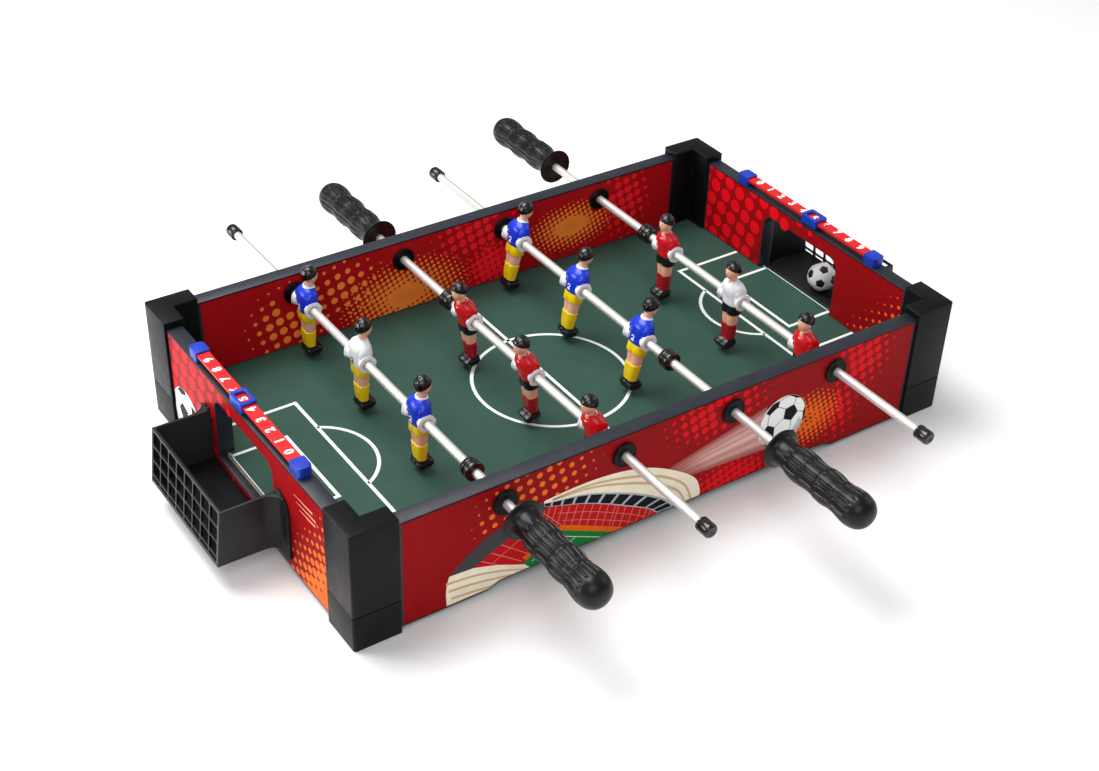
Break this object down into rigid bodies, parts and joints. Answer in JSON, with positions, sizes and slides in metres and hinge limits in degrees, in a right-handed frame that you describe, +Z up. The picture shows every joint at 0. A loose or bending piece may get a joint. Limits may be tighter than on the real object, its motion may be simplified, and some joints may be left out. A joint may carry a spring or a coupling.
{
  "type": "tabletop foosball",
  "caption": "Tabletop football game: a boxed pitch with sliding, spinning player rods, open goals with net baskets, and sliding score counters.",
  "frame": {"origin": "centre of the table on the surface it stands on", "axes": "+X along the table's length towards the red goalkeeper's end, +Y along the rods away from the near side, +Z up"},
  "size_m": [0.6016, 0.586, 0.1041],
  "materials": {
    "pitch_board": "satin green printed fibreboard with white lines",
    "printed_board": "satin printed fibreboard, dark red with dots and stadium artwork, dark grey top edge",
    "black_plastic": "satin moulded black",
    "gloss_black_plastic": "glossy moulded black",
    "rod_steel": "bright chrome-plated tube",
    "handle_plastic": "satin black grip",
    "red_bar_plastic": "satin red strip with white digits",
    "blue_plastic": "satin moulded blue",
    "blue_team_plastic": "painted moulded figure, blue shirt, yellow shorts and socks",
    "red_team_plastic": "painted moulded figure, red shirt and socks, black shorts",
    "keeper_plastic": "painted moulded figure, white shirt",
    "ball_plastic": "matte white with black patches"
  },
  "bodies": {
    "table": {"corner_foot_far_left": "black_plastic", "corner_foot_far_right": "black_plastic", "corner_foot_near_left": "black_plastic", "corner_foot_near_right": "black_plastic", "corner_post_far_left": "black_plastic", "corner_post_far_right": "black_plastic", "corner_post_near_left": "black_plastic", "corner_post_near_right": "black_plastic", "end_wall_left": "printed_board", "end_wall_right": "printed_board", "goal_basket_left": "black_plastic", "goal_basket_right": "black_plastic", "playing_field": "pitch_board", "rod_bushing_blue_front_far": "gloss_black_plastic", "rod_bushing_blue_front_near": "gloss_black_plastic", "rod_bushing_blue_keeper_far": "gloss_black_plastic", "rod_bushing_blue_keeper_near": "gloss_black_plastic", "rod_bushing_red_front_far": "gloss_black_plastic", "rod_bushing_red_front_near": "gloss_black_plastic", "rod_bushing_red_keeper_far": "gloss_black_plastic", "rod_bushing_red_keeper_near": "gloss_black_plastic", "score_bar_holder_left_far": "blue_plastic", "score_bar_holder_left_near": "blue_plastic", "score_bar_holder_right_far": "blue_plastic", "score_bar_holder_right_near": "blue_plastic", "score_bar_left": "red_bar_plastic", "score_bar_right": "red_bar_plastic", "side_wall_far": "printed_board", "side_wall_near": "printed_board"},
    "blue_keeper_rod_slider": {"rod_cap_blue_keeper": "gloss_black_plastic"},
    "blue_keeper_rod": {"rod_blue_keeper": "rod_steel", "stop_ring_blue_keeper": "gloss_black_plastic", "handle_blue_keeper": "handle_plastic", "blue_back_near": "blue_team_plastic", "blue_goalkeeper": "keeper_plastic", "blue_back_far": "blue_team_plastic"},
    "red_front_rod_slider": {"rod_cap_red_front": "gloss_black_plastic"},
    "red_front_rod": {"rod_red_front": "rod_steel", "stop_ring_red_front": "gloss_black_plastic", "handle_red_front": "handle_plastic", "red_forward_near": "red_team_plastic", "red_forward_middle": "red_team_plastic", "red_forward_far": "red_team_plastic"},
    "blue_front_rod_slider": {"rod_cap_blue_front": "gloss_black_plastic"},
    "blue_front_rod": {"rod_blue_front": "rod_steel", "stop_ring_blue_front": "gloss_black_plastic", "handle_blue_front": "handle_plastic", "blue_forward_near": "blue_team_plastic", "blue_forward_middle": "blue_team_plastic", "blue_forward_far": "blue_team_plastic"},
    "red_keeper_rod_slider": {"rod_cap_red_keeper": "gloss_black_plastic"},
    "red_keeper_rod": {"rod_red_keeper": "rod_steel", "stop_ring_red_keeper": "gloss_black_plastic", "handle_red_keeper": "handle_plastic", "red_back_near": "red_team_plastic", "red_goalkeeper": "keeper_plastic", "red_back_far": "red_team_plastic"},
    "score_slider_left": {"score_slider_left": "blue_plastic"},
    "score_slider_right": {"score_slider_right": "blue_plastic"},
    "ball": {"ball": "ball_plastic"}
  },
  "joints": [
    {"name": "blue_keeper_rod_push", "type": "slide", "parent": "table", "child": "blue_keeper_rod_slider", "axis": [0, 1, 0], "range_m": [-0.0205, 0.0054]},
    {"name": "blue_keeper_rod_spin", "type": "hinge", "parent": "blue_keeper_rod_slider", "child": "blue_keeper_rod", "pos_m": [-0.1415, 0, 0.074], "axis": [0, 1, 0], "continuous": true},
    {"name": "red_front_rod_push", "type": "slide", "parent": "table", "child": "red_front_rod_slider", "axis": [0, 1, 0], "range_m": [-0.007, 0.063]},
    {"name": "red_front_rod_spin", "type": "hinge", "parent": "red_front_rod_slider", "child": "red_front_rod", "pos_m": [-0.047, 0, 0.074], "axis": [0, 1, 0], "continuous": true},
    {"name": "blue_front_rod_push", "type": "slide", "parent": "table", "child": "blue_front_rod_slider", "axis": [0, 1, 0], "range_m": [-0.0538, 0.0054]},
    {"name": "blue_front_rod_spin", "type": "hinge", "parent": "blue_front_rod_slider", "child": "blue_front_rod", "pos_m": [0.047, 0, 0.074], "axis": [0, 1, 0], "continuous": true},
    {"name": "red_keeper_rod_push", "type": "slide", "parent": "table", "child": "red_keeper_rod_slider", "axis": [0, 1, 0], "range_m": [-0.0066, 0.061]},
    {"name": "red_keeper_rod_spin", "type": "hinge", "parent": "red_keeper_rod_slider", "child": "red_keeper_rod", "pos_m": [0.1415, 0, 0.074], "axis": [0, 1, 0], "continuous": true},
    {"name": "score_slider_left_slide", "type": "slide", "parent": "table", "child": "score_slider_left", "axis": [0, 1, 0], "range_m": [-0.0675, 0.054]},
    {"name": "score_slider_right_slide", "type": "slide", "parent": "table", "child": "score_slider_right", "axis": [0, -1, 0], "range_m": [-0.0675, 0.054]},
    {"name": "ball_lift", "type": "slide", "parent": "table", "child": "ball", "axis": [0, 0, 1], "range_m": [0, 0.12]}
  ]
}
